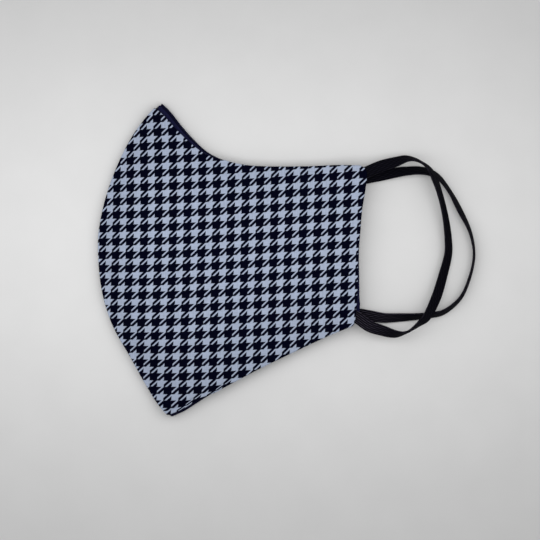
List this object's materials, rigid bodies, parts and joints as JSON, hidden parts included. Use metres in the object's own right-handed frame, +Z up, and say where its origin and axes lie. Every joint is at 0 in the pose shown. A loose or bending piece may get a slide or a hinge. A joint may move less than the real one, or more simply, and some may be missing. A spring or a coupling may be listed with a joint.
{
  "type": "cloth face mask",
  "caption": "Fitted cloth face mask with a curved centre seam, houndstooth outside, plain lining and elastic ear loops, lying folded flat.",
  "frame": {"origin": "under the middle of the box that holds the folded mask and its ear loops, on the surface that the mask lies on", "axes": "+Z up from that surface through the folded layers, +X from the centre seam to the ear loops, +Y from the chin edge to the nose edge"},
  "size_m": [0.1692, 0.14, 0.0107],
  "materials": {
    "houndstooth_cotton": "matt printed plain-weave cotton, pale blue and near-black houndstooth",
    "navy_cotton": "matt plain-weave cotton, dark navy",
    "braided_elastic": "flat ribbed braided elastic, near-black"
  },
  "bodies": {
    "root": {"outer_panel_upper": "houndstooth_cotton", "outer_panel_lower": "houndstooth_cotton", "lining_upper": "navy_cotton", "lining_lower": "navy_cotton", "ear_loop_upper": "braided_elastic", "ear_loop_lower": "braided_elastic"}
  },
  "joints": []
}
